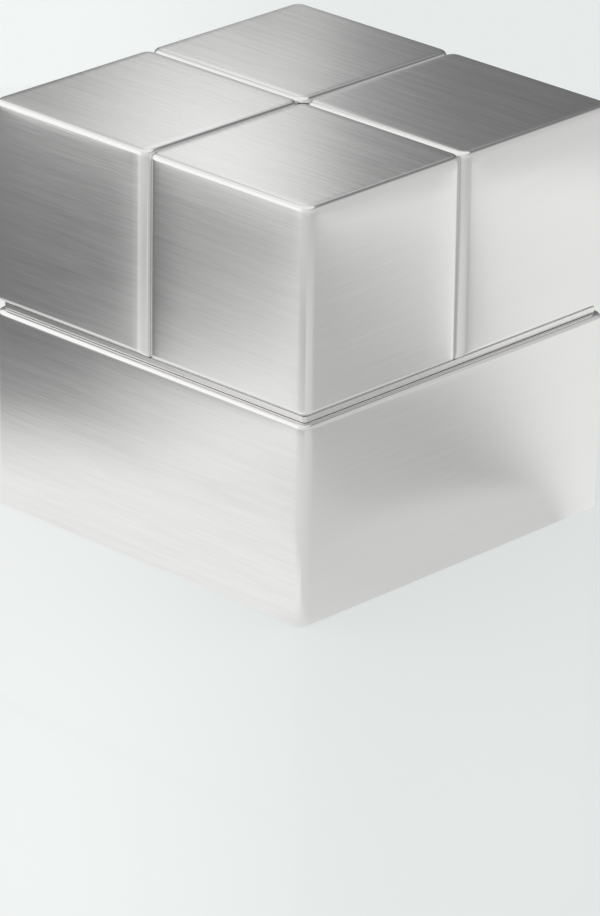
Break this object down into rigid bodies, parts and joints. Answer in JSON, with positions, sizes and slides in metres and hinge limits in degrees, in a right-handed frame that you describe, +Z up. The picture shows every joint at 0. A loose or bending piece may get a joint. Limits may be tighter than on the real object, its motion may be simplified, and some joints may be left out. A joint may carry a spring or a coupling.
{
  "type": "magnetic block cube puzzle",
  "caption": "Square brushed metal slab with a turning top that carries small magnetic metal blocks, together one cube; each block lifts off.",
  "frame": {"origin": "middle of the underside, on the surface that the cube stands on", "axes": "+Z up through the turning axis; +X right and -Y front, square to the side faces"},
  "size_m": [0.05, 0.05, 0.05],
  "materials": {
    "brushed_shell": "fine brushed, satin, with polished rounded edges",
    "disc_steel": "turned, fine rings",
    "hub_brass": "turned",
    "bushing_bronze": "sintered bronze",
    "magnet_nickel": "nickel plated",
    "screw_steel": "zinc plated",
    "carrier_plastic": "moulded, matt",
    "plate_plastic": "moulded, fine grain",
    "foot_rubber": "matt rubber"
  },
  "bodies": {
    "base": {"base_shell": "brushed_shell", "base_carrier": "carrier_plastic", "index_magnets": "magnet_nickel", "axle_bushing": "bushing_bronze", "base_cover": "plate_plastic", "cover_screws": "screw_steel", "foot_pad": "foot_rubber"},
    "turntable": {"turntable_disc": "disc_steel", "turntable_deck": "brushed_shell", "turntable_hub": "hub_brass", "seat_magnets": "magnet_nickel", "axle_washer": "screw_steel", "axle_spring": "screw_steel", "axle_screw": "screw_steel"},
    "front_left_block": {"front_left_shell": "brushed_shell", "front_left_carrier": "carrier_plastic", "front_left_base_magnet": "magnet_nickel", "front_left_side_magnets": "magnet_nickel", "front_left_plate": "plate_plastic"},
    "front_right_block": {"front_right_shell": "brushed_shell", "front_right_carrier": "carrier_plastic", "front_right_base_magnet": "magnet_nickel", "front_right_side_magnets": "magnet_nickel", "front_right_plate": "plate_plastic"},
    "back_right_block": {"back_right_shell": "brushed_shell", "back_right_carrier": "carrier_plastic", "back_right_base_magnet": "magnet_nickel", "back_right_side_magnets": "magnet_nickel", "back_right_plate": "plate_plastic"},
    "back_left_block": {"back_left_shell": "brushed_shell", "back_left_carrier": "carrier_plastic", "back_left_base_magnet": "magnet_nickel", "back_left_side_magnets": "magnet_nickel", "back_left_plate": "plate_plastic"}
  },
  "joints": [
    {"name": "layer_turn", "type": "hinge", "parent": "base", "child": "turntable", "pos_m": [0, 0, 0.025], "axis": [0, 0, 1], "continuous": true},
    {"name": "front_left_lift", "type": "slide", "parent": "turntable", "child": "front_left_block", "axis": [0, 0, 1], "range_m": [0, 0.03]},
    {"name": "front_right_lift", "type": "slide", "parent": "turntable", "child": "front_right_block", "axis": [0, 0, 1], "range_m": [0, 0.03]},
    {"name": "back_right_lift", "type": "slide", "parent": "turntable", "child": "back_right_block", "axis": [0, 0, 1], "range_m": [0, 0.03]},
    {"name": "back_left_lift", "type": "slide", "parent": "turntable", "child": "back_left_block", "axis": [0, 0, 1], "range_m": [0, 0.03]}
  ]
}
